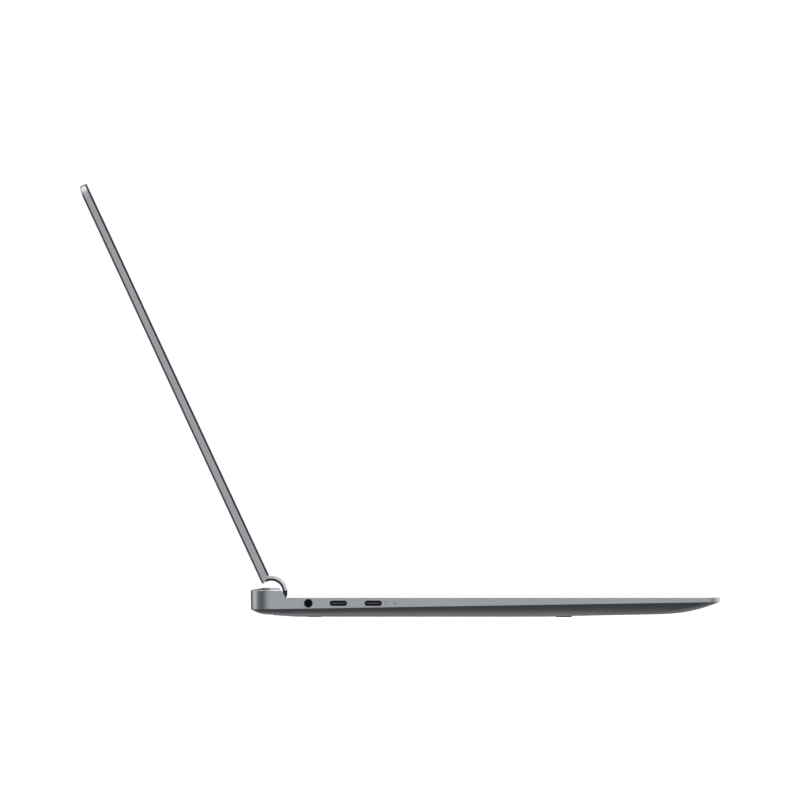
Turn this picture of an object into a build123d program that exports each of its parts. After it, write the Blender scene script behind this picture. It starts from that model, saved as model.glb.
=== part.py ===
from build123d import *
import math
import os

# A thin laptop computer, millimetres.  X is the width (the user's left is -X), -Y is the front edge,
# +Z is up and z = 0 is the desk.  The origin is below the middle of the base.  The lid is drawn closed
# and then turned about the hinge axis to its resting angle.

# ---- base ----
WIDTH = 312.0
DEPTH = 226.0
HALF_W = WIDTH / 2
FRONT = -DEPTH / 2
REAR = DEPTH / 2
FOOT_HEIGHT = 0.25
FLOOR = FOOT_HEIGHT                  # outside of the flat underside
DECK = FLOOR + 9.2                   # top of the palm rest
SKIN = 1.1                           # thickness of deck and underside
DECK_UNDER = DECK - SKIN
INNER_FLOOR = FLOOR + SKIN
SIDE_WALL = 1.6
FRONT_WALL = 2.2
REAR_WALL = 1.3
FRONT_CORNER = 6.0
REAR_CORNER = 10.0
RIM_REAR = FLOOR + 3.5               # the seam between top case and bottom cover climbs to the front
RIM_FRONT = FLOOR + 7.05
DECK_EDGE = 0.12                     # chamfer round the deck
SCOOP_R = 5.6                        # finger scoop in the front edge, part of a cylinder across it
SCOOP_WIDTH = 56.0
SCOOP_BACK = 2.0                     # its axis lies this far in front of the edge and above the deck
SCOOP_RISE = 3.4

# ---- curved underside, as sections from its flat middle out to the seam ----
# Each is (inset at the front, rear and sides), (corner radius at the front and rear),
# (height above the flat at the front and rear).
FLAT_SECTION = ((83.0, 22.0, 24.0), (26.0, 24.0), (0.0, 0.0))
TOE_SECTION = ((29.0, 14.0, 15.0), (18.0, 18.0), (1.07, 0.4))
BEND_SECTION = ((17.0, 8.0, 9.0), (13.0, 14.0), (2.08, 0.97))
SHOULDER_SECTION = ((6.0, 3.4, 3.0), (8.0, 11.0), (4.75, 1.85))

# ---- rubber feet, as (x, y) spans ----
FOOT_STRIPS = {"rubber_foot_rear": ((-118, 118), (79, 85)), "rubber_foot_front": ((-118, 118), (-42, -36))}
FOOT_RECESS = 0.5
FOOT_CORNER = 2.5
FOOT_EDGE = 0.2

# ---- air slots: counts, pitches and slot sizes along x and y ----
FAN_SLOTS = ((5, 7), (9.0, 3.6), (7.0, 1.4))
SPEAKER_SLOTS = ((3, 6), (7.5, 3.0), (5.5, 1.2))
SPEAKER_SLOT_X = 118.0
SPEAKER_SLOT_Y = -40.0
REAR_VENTS = 34
REAR_VENT_PITCH = 4.2
REAR_VENT_HEIGHT = 4.4
REAR_VENT_WIDTH = 2.0
REAR_VENT_Z = FLOOR + 8.2

# ---- raised strip along the rear edge, which holds the hinge ----
HUMP_TOP = FLOOR + 13.85
HUMP_EDGE_TOP = FLOOR + 12.88        # its top falls to this at the rear and both ends
HUMP_CROWN_RUN = 6.0
HUMP_CHAMFER = 0.4                   # then a chamfer runs down to the wall
HUMP_TOP_FRONT_Y = REAR - 13.8
HUMP_FOOT_Y = REAR - 16.8
GROOVE_WIDTH = 0.7
GROOVE_DEPTH = 0.35
HUMP_SKIN = 1.2

# ---- hinge: an arm bent about an axis in empty space ----
AXIS_Y = REAR - 9.8
AXIS_Z = FLOOR + 11.86
ARM_INNER_R = 5.6
ARM_SPLIT_R = 6.6                    # below this the steel core, above it the aluminium cover
ARM_OUTER_R = 7.85
ARM_X_IN = 94.0
ARM_X_OUT = 134.0
ARM_TAIL_DEG = -183.0                # angles about the axis from the closed lid's direction
ARM_COVER_DEG = -108.4
ARM_COVER_START_DEG = -6.0
ARM_ROOT_DEG = 4.0
TRACK_PLAY = 0.05
TRACK_OUTER_R = 8.45
TRACK_SIDE = 2.5                     # steel left beside the channel
TRACK_EAR_Y = AXIS_Y - 13.0
TRACK_EARS = ((91.5, 101.0), (127.0, 136.5))
TRACK_EAR_THICK = 1.2
SLOT_PLAY = 0.2
LID_REST_DEG = 115.0

# ---- lid, drawn closed: t runs forward from the axis and h up from it ----
LID_TIP_T = 5.25
LID_TIP_H = 1.6
LID_END_SLOPE = 0.656                # the end face leans, so it clears the raised strip
LID_OUTER_H = 2.3
LID_OUTER_FAR_H = 1.79
LID_BACK_H = -1.54                   # joint between back cover and glass
LID_GLASS_H = -2.36
GASKET_H = -2.5
GASKET_WIDTH = 1.2
GASKET_START_T = 7.9
LID_CORNER = 6.0
LID_FAR_T = AXIS_Y - FRONT
LID_EDGE_CHAMFER = 0.15
LID_CROWN_RISE = 0.75
LID_CROWN_RUN = 5.0
POCKET_H = 0.75
POCKET_WALL = 2.2
POCKET_START_T = 8.9
LID_FOOT_H = (-0.5, 0.7)             # flat foot of each hinge arm, screwed to the lid
LID_FOOT_END_T = 18.6
LID_SCREW_T = 14.0
LID_SCREW_X = (100.0, 114.0, 128.0)
PANEL_NEAR_T = 19.5
PANEL_FAR_T = 209.5
PANEL_HALF_W = 152.4

# ---- keyboard ----
KEY_PITCH_X = 18.6
KEY_PITCH_Y = 18.2
KEY_GAP = 2.3
KEY_TRAVEL = 1.2
KEY_TOP = DECK - 0.1
KEY_THICK = 1.2
KEY_SKIN = 0.55
KEY_WALL = 0.8
KEY_EDGE = 0.25
KEY_PLAY = 0.35
KEY_CORNER = 1.4
FUNCTION_PITCH_Y = 12.2
ROW_UNITS = 15
KEYBOARD_REAR = 84.0
PLATE_TOP = KEY_TOP - KEY_THICK - KEY_TRAVEL - 0.1
PLATE_THICK = 0.5

# ---- touchpad ----
PAD_HALF_W = 62.0
PAD_REAR = -30.0
PAD_FRONT = -106.0
PAD_PLAY = 0.3
PAD_TOP = DECK - 0.05
PAD_THICK = 1.1
PAD_CORNER = 3.0

# ---- sockets in the left side ----
PORT_Z = FLOOR + 6.46
JACK_Y = REAR - 27.7
USB_REAR_Y = REAR - 42.2
USB_FRONT_Y = REAR - 59.0
LIGHT_Y = REAR - 69.5
USB_OPEN = (8.34, 2.56)              # inside of the metal sleeve
USB_SLEEVE_WALL = 0.3
USB_LENGTH = 7.4
USB_TONGUE = (6.68, 0.7)
LIGHT_SLOT = (1.5, 0.6)
JACK_BORE_R = 1.8
JACK_NOSE_R = 2.12
JACK_LENGTH = 12.0

# ---- screws through the bottom cover into posts of the top case ----
SCREW_SPOTS = [(-114, 89), (114, 89), (-20, 100), (20, 100), (-100, -24), (0, -24), (100, -24),
               (-100, -54), (100, -54)]
POST_R = 2.2
POST_PLAY = 0.1                      # below the posts that stand over the rising underside
SCREW_SHANK_R = 0.95
SCREW_HEAD_R = 1.8
SCREW_HEAD_T = 0.6

# ---- cooling ----
FAN_X = 68.0
FAN_Y = 60.0
FAN_HALF = 23.0
FAN_LOW = INNER_FLOOR + 0.2
FAN_HIGH = PLATE_TOP - PLATE_THICK - 0.2
FAN_CAVITY_R = 20.5
FAN_INLET_R = 13.0
IMPELLER_R = 19.5
HUB_R = 8.0
SHAFT_R = 1.0
BLADES = 29
PIPE_LOW = INNER_FLOOR + 0.2
PIPE_THICK = 1.5
FAN_WALL = 0.45
FIN_COUNT = 20
FIN_PITCH = 2.08
FIN_THICK = 0.4
FIN_X = (48.0, 88.0)
FIN_Y = (85.2, 93.8)

# ---- boards, battery, speakers and touchpad tray ----
BOARD_LOW = FLOOR + 4.6
BOARD_THICK = 1.0
PROCESSOR_LOW = BOARD_LOW - 1.3
MEMORY_LOW = BOARD_LOW - 1.1
MEMORY_X = (-40, -26, 15, 29)
BATTERY_X = ((-95, -50), (-48, -3), (3, 48), (50, 95))
BATTERY_Y = (-82, -28)
BATTERY_LOW = INNER_FLOOR + 1.2
BATTERY_TOP = FLOOR + 6.4
SSD_LOW = FLOOR + 3.8
SSD_THICK = 0.8
SPEAKER_X = (104, 134)
SPEAKER_Y = (-82, -30)
SPEAKER_CONE_R = 8.0
TRAY_LOW = FLOOR + 6.6
TRAY_THICK = 0.5
TRAY_RAIL = 6.0


def block(x, y, z, corner=0.0):
    """A box between two limits on each axis, with its upright edges rounded."""
    centre = Pos((x[0] + x[1]) / 2, (y[0] + y[1]) / 2, (z[0] + z[1]) / 2)
    solid = centre * Box(x[1] - x[0], y[1] - y[0], z[1] - z[0])
    return fillet(solid.edges().filter_by(Axis.Z), corner) if corner else solid


def upright(x, y, radius, low, high):
    """A cylinder standing along Z."""
    return Pos(x, y, (low + high) / 2) * Cylinder(radius, high - low)


def both_sides(shape):
    return shape, mirror(shape, about=Plane.YZ)


def rounded_plan(half_width, front, rear, front_radius, rear_radius):
    """A rectangle seen from above, with its own corner radius at the front and the rear."""
    corners = [(-half_width, front), (half_width, front), (half_width, rear), (-half_width, rear)]
    plan = make_face(Polyline(*corners, close=True))
    plan = fillet(plan.vertices().group_by(Axis.Y)[0], front_radius)
    return fillet(plan.vertices().group_by(Axis.Y)[-1], rear_radius)


def side_prism(points, half_width):
    """A (y, z) outline carried across the width."""
    outline = make_face(Polyline(*points, close=True))
    return extrude(Plane.YZ * outline, half_width, both=True)


def sloping_plane(z_front, z_rear, y_front, y_rear):
    """The plane through one height at y_front and another at y_rear."""
    slope = (z_rear - z_front) / (y_rear - y_front)
    return Plane(origin=(0, 0, z_front - slope * y_front), x_dir=(1, 0, 0), z_dir=(0, -slope, 1))


def closed_lid(t, h):
    """The (y, z) place of a point given forward of and above the hinge axis, lid closed."""
    return AXIS_Y - t, AXIS_Z + h


def ring_sector(inner, outer, start_deg, end_deg, x):
    """A slice of a tube about the hinge axis, between two angles of the closed lid."""
    def spot(radius, degrees):
        angle = math.radians(degrees)
        return closed_lid(radius * math.cos(angle), radius * math.sin(angle))
    middle = (start_deg + end_deg) / 2
    outline = [ThreePointArc(spot(outer, start_deg), spot(outer, middle), spot(outer, end_deg)),
               Line(spot(outer, end_deg), spot(inner, end_deg)),
               ThreePointArc(spot(inner, end_deg), spot(inner, middle), spot(inner, start_deg)),
               Line(spot(inner, start_deg), spot(outer, start_deg))]
    face = Plane.YZ * make_face(Curve() + outline)
    return Pos(x[0], 0, 0) * extrude(face, x[1] - x[0], dir=(1, 0, 0))


def lid_block(x, t, h, corner=0.0):
    """A box in the closed lid's own terms."""
    return block(x, (AXIS_Y - t[1], AXIS_Y - t[0]), (AXIS_Z + h[0], AXIS_Z + h[1]), corner)


def at_rest(shape):
    """Turns a piece of the closed lid to the resting angle."""
    hinge = Axis((0, AXIS_Y, AXIS_Z), (-1, 0, 0))
    return shape.rotate(hinge, LID_REST_DEG)


# ---- keyboard layout ----

def key_rows():
    """Rows from the rear: the row's name, its keys' widths in units, and the keys that stand alone."""
    return [("function", [1] * 15, {0: "key_escape", 14: "power_key"}),
            ("number", [1] * 13 + [2], {13: "key_backspace"}),
            ("upper_letter", [1.5] + [1] * 12 + [1.5], {0: "key_tab"}),
            ("home_letter", [1.75] + [1] * 11 + [2.25], {0: "key_caps_lock", 12: "key_enter"}),
            ("lower_letter", [2.25] + [1] * 10 + [2.75], {0: "key_shift_left", 11: "key_shift_right"}),
            ("modifier", [1.25, 1, 1, 1.25, 5.5, 1, 1, 1, 1, 1],
             {4: "key_space", 7: "key_arrow_left", 8: "key_arrow_up", 9: "key_arrow_right"})]


def key_places():
    """Each key as (node, x, y, width, depth); the two middle arrows share one place, half height each."""
    places = []
    rear = KEYBOARD_REAR
    for row, units, own in key_rows():
        pitch = FUNCTION_PITCH_Y if row == "function" else KEY_PITCH_Y
        left = -ROW_UNITS * KEY_PITCH_X / 2
        y = rear - pitch / 2
        depth = pitch - KEY_GAP
        for index, unit in enumerate(units):
            x = left + unit * KEY_PITCH_X / 2
            width = unit * KEY_PITCH_X - KEY_GAP
            node = own.get(index, "keys_" + row + "_row")
            if node.startswith("key_arrow"):
                half = (depth - KEY_GAP / 2) / 2
                lower = y - (depth - half) / 2
                if node == "key_arrow_up":
                    places.append(("key_arrow_up", x, y + (depth - half) / 2, width, half))
                    places.append(("key_arrow_down", x, lower, width, half))
                else:
                    places.append((node, x, lower, width, half))
            else:
                places.append((node, x, y, width, depth))
            left += unit * KEY_PITCH_X
        rear -= pitch
    return places


def key_cap(x, y, width, depth):
    """A cap with rounded corners, a softened top edge and a hollow underside."""
    low = KEY_TOP - KEY_THICK
    cap = block((x - width / 2, x + width / 2), (y - depth / 2, y + depth / 2), (low, KEY_TOP), KEY_CORNER)
    cap = chamfer(cap.faces().sort_by(Axis.Z)[-1].edges(), KEY_EDGE)
    half_x = width / 2 - KEY_WALL
    half_y = depth / 2 - KEY_WALL
    return cap - block((x - half_x, x + half_x), (y - half_y, y + half_y), (low, KEY_TOP - KEY_SKIN))


def key_nodes():
    caps = {}
    for node, x, y, width, depth in key_places():
        caps.setdefault(node, []).append(key_cap(x, y, width, depth))
    return caps


def key_holes():
    """The openings of the deck that the caps move in."""
    holes = []
    for _, x, y, width, depth in key_places():
        opening = RectangleRounded(width + 2 * KEY_PLAY, depth + 2 * KEY_PLAY, KEY_CORNER + KEY_PLAY)
        holes.append(extrude(Pos(x, y, DECK_UNDER - 1) * opening, SKIN + 2))
    return holes


def key_domes():
    """One rubber dome below each cap, as low as a pressed cap leaves it."""
    height = KEY_THICK - KEY_SKIN - 0.05
    return [Pos(x, y, PLATE_TOP + height / 2) * Cone(min(2.6, depth / 2 - 1.2), 1.4, height)
            for _, x, y, width, depth in key_places()]


def keyboard_plate():
    """The steel sheet under the keys, hung from the deck by a rail along each side."""
    front = KEYBOARD_REAR - FUNCTION_PITCH_Y - 5 * KEY_PITCH_Y
    edge = ROW_UNITS * KEY_PITCH_X / 2 + 1.5
    plate = block((-edge, edge), (front, KEYBOARD_REAR), (PLATE_TOP - PLATE_THICK, PLATE_TOP))
    for rail in both_sides(block((edge - 1.5, edge), (front, KEYBOARD_REAR), (PLATE_TOP, DECK_UNDER))):
        plate += rail
    return plate


# ---- base shells ----

def underside_rise(y):
    """How far the underside has climbed above its flat middle, inwards of the toe section."""
    flat_front, flat_rear = FRONT + FLAT_SECTION[0][0], REAR - FLAT_SECTION[0][1]
    toe_front, toe_rear = FRONT + TOE_SECTION[0][0], REAR - TOE_SECTION[0][1]
    front = TOE_SECTION[2][0] * (flat_front - y) / (flat_front - toe_front)
    rear = TOE_SECTION[2][1] * (y - flat_rear) / (toe_rear - flat_rear)
    return max(0.0, front, rear)


def cover_sections(wall):
    """Outlines of the underside from its flat middle up to the seam; wall moves them inwards and up."""
    def outline(section, side_share, up_share):
        insets, corners, heights = section
        front_in, rear_in, side_in = [inset + wall * side_share for inset in insets]
        low_front, low_rear = [FLOOR + height + wall * up_share for height in heights]
        plane = sloping_plane(low_front, low_rear, FRONT + front_in, REAR - rear_in)
        return plane * rounded_plan(HALF_W - side_in, FRONT + front_in, REAR - rear_in, *corners)
    rim = ((0.0, 0.0, 0.0), (FRONT_CORNER - wall, REAR_CORNER - wall), (RIM_FRONT - FLOOR, RIM_REAR - FLOOR))
    return [outline(FLAT_SECTION, 0.0, 1.0), outline(TOE_SECTION, 0.2, 1.0), outline(BEND_SECTION, 0.4, 1.0),
            outline(SHOULDER_SECTION, 0.8, 0.7), outline(rim, 1.2, 0.33)]


def cover_form(wall):
    """The underside as a solid: nearly flat out to the toe section, then one smooth curve up to the seam."""
    sections = cover_sections(wall)
    return loft(sections[:2], ruled=True) + loft(sections[1:])


def slot_field(x_middle, y_middle, counts, pitches, slot):
    """Short slots in columns and rows, each running along X, cut up through the underside."""
    cuts = []
    for column in range(counts[0]):
        for row in range(counts[1]):
            x = x_middle + (column - (counts[0] - 1) / 2) * pitches[0]
            y = y_middle + (row - (counts[1] - 1) / 2) * pitches[1]
            cuts.append(extrude(Pos(x, y, 0) * SlotOverall(*slot), INNER_FLOOR + 1))
    return cuts


def bottom_cover():
    """The curved underside, a thin tray with air slots, foot recesses and screw holes."""
    cover = cover_form(0.0) - cover_form(SKIN)
    cuts = []
    for side in (-1, 1):
        cuts += slot_field(side * FAN_X, FAN_Y - 2, *FAN_SLOTS)
        cuts += slot_field(side * SPEAKER_SLOT_X, SPEAKER_SLOT_Y, *SPEAKER_SLOTS)
    for x, y in SCREW_SPOTS:
        cuts.append(upright(x, y, SCREW_SHANK_R + 0.1, 0, INNER_FLOOR + 1.5))
        cuts.append(upright(x, y, SCREW_HEAD_R + 0.1, 0, FLOOR + underside_rise(y) + SCREW_HEAD_T))
    for x, y in FOOT_STRIPS.values():
        cuts.append(block(x, y, (0, FLOOR + FOOT_RECESS), FOOT_CORNER))
    return cover - cuts


def rubber_foot(x, y):
    foot = block(x, y, (0, FLOOR + FOOT_RECESS), FOOT_CORNER)
    return fillet(foot.faces().sort_by(Axis.Z)[0].edges(), FOOT_EDGE)


def bottom_screws():
    """Flat-headed screws with a hexagon socket."""
    screws = []
    for x, y in SCREW_SPOTS:
        low = FLOOR + underside_rise(y)
        head = upright(x, y, SCREW_HEAD_R, low + 0.05, low + SCREW_HEAD_T)
        shank = upright(x, y, SCREW_SHANK_R, low + SCREW_HEAD_T, INNER_FLOOR + 3.4)
        socket = Pos(x, y, low) * extrude(RegularPolygon(0.75, 6), 0.4)
        screws.append(head + shank - socket)
    return screws


def hump_inner_profile():
    """The hollow of the raised strip and the base, as (y, z) points, open towards the bottom cover."""
    lean = (HUMP_TOP_FRONT_Y - HUMP_FOOT_Y) / (HUMP_TOP - DECK)
    thick = HUMP_SKIN * math.hypot(1, lean)
    ceiling_front = HUMP_TOP - HUMP_SKIN
    ceiling_rear = HUMP_EDGE_TOP - HUMP_SKIN
    face_top_y = HUMP_FOOT_Y + lean * (ceiling_front - DECK) + thick
    face_low_y = HUMP_FOOT_Y + lean * (DECK_UNDER - DECK) + thick
    return [(FRONT, 0), (FRONT, DECK_UNDER), (face_low_y, DECK_UNDER), (face_top_y, ceiling_front),
            (REAR, ceiling_rear), (REAR, 0)]


def base_hollow():
    plan = rounded_plan(HALF_W - SIDE_WALL, FRONT + FRONT_WALL, REAR - REAR_WALL,
                        FRONT_CORNER - SIDE_WALL, REAR_CORNER - SIDE_WALL)
    return extrude(plan, HUMP_TOP) & side_prism(hump_inner_profile(), HALF_W)


def crowned_form():
    """The plan carried up to the raised strip: upright walls, a chamfer all round and a shallow crown."""
    def level(z, inset):
        return Plane.XY.offset(z) * rounded_plan(HALF_W - inset, FRONT + inset, REAR - inset,
                                                 FRONT_CORNER - inset, REAR_CORNER - inset)
    wall_top = level(HUMP_EDGE_TOP - HUMP_CHAMFER, 0)
    edge = level(HUMP_EDGE_TOP, HUMP_CHAMFER)
    crown = level(HUMP_TOP + 0.02, HUMP_CROWN_RUN - 0.05)
    body = extrude(level(0, 0), HUMP_EDGE_TOP - HUMP_CHAMFER)
    return body + loft([wall_top, edge], ruled=True) + loft([edge, crown], ruled=True)


def top_case_outside():
    """The outer form: a tapering side band, the flat deck and the raised strip at the rear."""
    groove = HUMP_FOOT_Y - GROOVE_WIDTH
    side = [(REAR, RIM_REAR), (FRONT, RIM_FRONT), (FRONT, DECK),
            (groove - 0.1, DECK), (groove, DECK - GROOVE_DEPTH),
            (HUMP_FOOT_Y - 0.1, DECK - GROOVE_DEPTH), (HUMP_FOOT_Y + 0.1, DECK + 0.16),
            (HUMP_TOP_FRONT_Y, HUMP_TOP), (REAR, HUMP_TOP)]
    body = crowned_form() & side_prism(side, HALF_W + 1)
    rim = []
    for edge in body.edges():
        middle = edge.center()
        outer = abs(middle.X) > HALF_W - FRONT_CORNER or middle.Y < FRONT + FRONT_CORNER
        if outer and abs(middle.Z - DECK) < 0.01:
            rim.append(edge)
    return chamfer(rim, DECK_EDGE)


def hinge_slots(play):
    """The way of each arm through the raised strip and the rear edge of the deck."""
    x = (ARM_X_IN - play, ARM_X_OUT + play)
    return both_sides(ring_sector(ARM_INNER_R - play, ARM_OUTER_R + play, ARM_TAIL_DEG - 2, 30, x))


def side_openings():
    """Cut-outs of the left side wall for the sockets and the charging light."""
    def through(y, outline, depth=SIDE_WALL + 1):
        face = Plane(origin=(-HALF_W - 0.5, y, PORT_Z), x_dir=(0, 1, 0), z_dir=(1, 0, 0)) * outline
        return extrude(face, depth)
    usb = SlotOverall(USB_OPEN[0] + 0.06, USB_OPEN[1] + 0.06)
    return [through(JACK_Y, Circle(JACK_NOSE_R + 0.03)), through(USB_REAR_Y, usb), through(USB_FRONT_Y, usb),
            through(LIGHT_Y, SlotOverall(*LIGHT_SLOT)),
            block((-HALF_W + SIDE_WALL, -HALF_W + SIDE_WALL + JACK_LENGTH + 0.1),
                  (JACK_Y - 3.2, JACK_Y + 3.2), (DECK_UNDER - 0.1, PORT_Z + 2.15))]


def finger_scoop():
    """A shallow dip in the front edge, for lifting the lid."""
    dip = Pos(0, FRONT - SCOOP_BACK, DECK + SCOOP_RISE) * Rot(0, 90, 0) * Cylinder(SCOOP_R, SCOOP_WIDTH)
    return fillet(dip.edges().filter_by(GeomType.CIRCLE), 3)


def rear_vents():
    """Upright slots in the rear wall where the warm air leaves."""
    cuts = []
    for index in range(REAR_VENTS):
        x = (index - (REAR_VENTS - 1) / 2) * REAR_VENT_PITCH
        plane = Plane(origin=(x, REAR + 0.5, REAR_VENT_Z), x_dir=(1, 0, 0), z_dir=(0, -1, 0))
        slot = plane * SlotOverall(REAR_VENT_HEIGHT, REAR_VENT_WIDTH, 90)
        cuts.append(extrude(slot, REAR_WALL + 1.2))
    return cuts


def touchpad_hole():
    outline = RectangleRounded(2 * (PAD_HALF_W + PAD_PLAY), PAD_REAR - PAD_FRONT + 2 * PAD_PLAY,
                               PAD_CORNER + PAD_PLAY)
    return extrude(Pos(0, (PAD_FRONT + PAD_REAR) / 2, DECK_UNDER - 1) * outline, SKIN + 2)


def top_case():
    """The one-piece upper housing, with every opening cut and the screw posts standing inside."""
    case = top_case_outside() - base_hollow()
    for x, y in SCREW_SPOTS:
        ceiling = HUMP_TOP - HUMP_SKIN - 0.2 if y > HUMP_FOOT_Y else DECK_UNDER
        rise = underside_rise(y)
        low = INNER_FLOOR + (rise + POST_PLAY if rise else 0.0)
        case += upright(x, y, POST_R, low, ceiling)
    cuts = key_holes() + side_openings() + rear_vents() + [finger_scoop(), touchpad_hole()]
    cuts += hinge_slots(SLOT_PLAY)
    cuts += [upright(x, y, SCREW_SHANK_R, INNER_FLOOR, INNER_FLOOR + 3.6) for x, y in SCREW_SPOTS]
    cuts += [upright(x, y, 0.8, DECK_UNDER, DECK_UNDER + 0.6) for x, y in track_screw_spots()]
    return case - cuts


# ---- hinge ----

def track_screw_spots():
    middles = [(low + high) / 2 for low, high in TRACK_EARS]
    return [(side * x, TRACK_EAR_Y) for side in (-1, 1) for x in middles]


def hinge_track():
    """The right-hand guide: a steel block with a round channel that the arm slides in."""
    x = (ARM_X_IN - TRACK_SIDE, ARM_X_OUT + TRACK_SIDE)
    drum = Pos((x[0] + x[1]) / 2, AXIS_Y, AXIS_Z) * Rot(0, 90, 0) * Cylinder(TRACK_OUTER_R, x[1] - x[0])
    room = block(x, (AXIS_Y - 20, REAR - REAR_WALL - 0.02), (0, AXIS_Z + 0.35)) & base_hollow()
    track = drum & room
    for low, high in TRACK_EARS:
        ear = block((low, high), (TRACK_EAR_Y - 3.5, AXIS_Y - 7.0),
                    (DECK_UNDER - TRACK_EAR_THICK, DECK_UNDER))
        track += ear - upright((low + high) / 2, TRACK_EAR_Y, 0.9, 0, DECK_UNDER)
    channel = ring_sector(ARM_INNER_R - TRACK_PLAY, ARM_OUTER_R + TRACK_PLAY, ARM_TAIL_DEG - 12, 40,
                          (ARM_X_IN - 0.1, ARM_X_OUT + 0.1))
    return track - channel


def track_screws():
    screws = []
    for x, y in track_screw_spots():
        low = DECK_UNDER - TRACK_EAR_THICK
        screws.append(upright(x, y, 1.7, low - 0.8, low) + upright(x, y, 0.8, low, DECK_UNDER + 0.5))
    return screws


def hinge_arm():
    """The right-hand arm: a bent steel core, thick inside the base, with a flat foot in the lid."""
    x = (ARM_X_IN, ARM_X_OUT)
    arm = ring_sector(ARM_INNER_R, ARM_SPLIT_R, ARM_COVER_DEG, ARM_ROOT_DEG, x)
    arm += ring_sector(ARM_INNER_R, ARM_OUTER_R, ARM_TAIL_DEG, ARM_COVER_DEG, x)
    arm += lid_block(x, (6.1, LID_FOOT_END_T), LID_FOOT_H)
    for screw_x in LID_SCREW_X:
        arm -= upright(screw_x, AXIS_Y - LID_SCREW_T, 0.9, AXIS_Z - 2, AXIS_Z + 2)
    return arm


def hinge_cover():
    """The right-hand aluminium cover on the outside of the bend, the part that shows."""
    return ring_sector(ARM_SPLIT_R, ARM_OUTER_R, ARM_COVER_DEG, ARM_COVER_START_DEG, (ARM_X_IN, ARM_X_OUT))


def lid_hinge_screws():
    screws = []
    for side in (-1, 1):
        for x in LID_SCREW_X:
            y = AXIS_Y - LID_SCREW_T
            head = upright(side * x, y, 1.6, AXIS_Z + LID_FOOT_H[0] - 0.6, AXIS_Z + LID_FOOT_H[0])
            shank = upright(side * x, y, 0.8, AXIS_Z + LID_FOOT_H[0], AXIS_Z + POCKET_H + 0.5)
            screws.append(head + shank)
    return screws


# ---- lid ----

def lid_plan(inset, start_t):
    """The closed lid from above, its far corners round."""
    radius = max(LID_CORNER - inset, 1.0)
    return rounded_plan(HALF_W - inset, FRONT + inset, AXIS_Y - start_t, radius, 0.6)


def lid_end_wedge():
    """The room in front of the leaning end face, as a prism."""
    def face_t(h):
        return LID_TIP_T - LID_END_SLOPE * (h - LID_TIP_H)
    outline = [closed_lid(face_t(-3), -3), closed_lid(LID_TIP_T, LID_TIP_H),
               closed_lid(LID_TIP_T + 0.7, LID_OUTER_H), closed_lid(LID_TIP_T + 0.7, 4),
               closed_lid(LID_FAR_T + 2, 4), closed_lid(LID_FAR_T + 2, -3)]
    return side_prism(outline, HALF_W + 1)


def lid_back_cover():
    """The aluminium back: upright sides, a bright chamfer and a slightly crowned outer face."""
    start_t = 4.0

    def level(drop, inset):
        far_z = AXIS_Z + LID_OUTER_FAR_H - drop
        near_z = AXIS_Z + LID_OUTER_H - drop
        return sloping_plane(far_z, near_z, FRONT, AXIS_Y - start_t) * lid_plan(inset, start_t)
    side_drop = LID_CROWN_RISE + LID_EDGE_CHAMFER
    glass_side = Plane.XY.offset(AXIS_Z + LID_BACK_H) * lid_plan(0, start_t)
    body = loft([glass_side, level(side_drop, 0)], ruled=True)
    body += loft([level(side_drop, 0), level(LID_CROWN_RISE, LID_EDGE_CHAMFER)], ruled=True)
    body += loft([level(LID_CROWN_RISE, LID_EDGE_CHAMFER), level(0, LID_CROWN_RUN)], ruled=True)
    body = body & lid_end_wedge()
    pocket = lid_block((POCKET_WALL - HALF_W, HALF_W - POCKET_WALL),
                       (POCKET_START_T, LID_FAR_T - POCKET_WALL), (LID_BACK_H, POCKET_H), 3)
    cuts = [pocket]
    for notch in both_sides(lid_block((ARM_X_IN - 0.25, ARM_X_OUT + 0.25), (4, POCKET_START_T + 0.1),
                                      (LID_BACK_H - 0.1, POCKET_H))):
        cuts.append(notch)
    for side in (-1, 1):
        cuts += [upright(side * x, AXIS_Y - LID_SCREW_T, 0.8, AXIS_Z + POCKET_H, AXIS_Z + POCKET_H + 0.6)
                 for x in LID_SCREW_X]
    return body - cuts


def lid_gasket():
    """The rubber frame round the glass, a little proud of it, that meets the deck."""
    high = LID_BACK_H - GASKET_H
    low = Plane.XY.offset(AXIS_Z + GASKET_H)
    outer = extrude(low * lid_plan(0.15, GASKET_START_T), high)
    inner = extrude(low * lid_plan(0.15 + GASKET_WIDTH, GASKET_START_T + GASKET_WIDTH), high)
    return outer - inner


def display_glass():
    plan = lid_plan(0.15 + GASKET_WIDTH, GASKET_START_T + GASKET_WIDTH)
    return extrude(Plane.XY.offset(AXIS_Z + LID_GLASS_H) * plan, LID_BACK_H - LID_GLASS_H)


def display_panel():
    return lid_block((-PANEL_HALF_W, PANEL_HALF_W), (PANEL_NEAR_T, PANEL_FAR_T), (LID_BACK_H, POCKET_H - 0.1))


def camera_module():
    body = lid_block((-4, 4), (PANEL_FAR_T + 0.3, PANEL_FAR_T + 4.1), (LID_BACK_H + 0.3, POCKET_H - 0.2))
    lens = Pos(0, AXIS_Y - PANEL_FAR_T - 2.2, AXIS_Z + LID_BACK_H + 0.15) * Cylinder(1.4, 0.3)
    return body + lens


def microphone_board():
    board = lid_block((14, 58), (PANEL_FAR_T + 0.6, PANEL_FAR_T + 3.6), (LID_BACK_H + 1.0, LID_BACK_H + 1.6))
    for x in (20, 52):
        capsule = lid_block((x - 1.4, x + 1.4), (PANEL_FAR_T + 1.0, PANEL_FAR_T + 3.2),
                            (LID_BACK_H, LID_BACK_H + 1.0))
        board += capsule
    return board


def lid_magnets():
    bar = lid_block((100, 122), (PANEL_FAR_T + 0.5, PANEL_FAR_T + 3.8), (LID_BACK_H + 0.1, POCKET_H - 0.2))
    return list(both_sides(bar))


# ---- sockets ----

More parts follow.
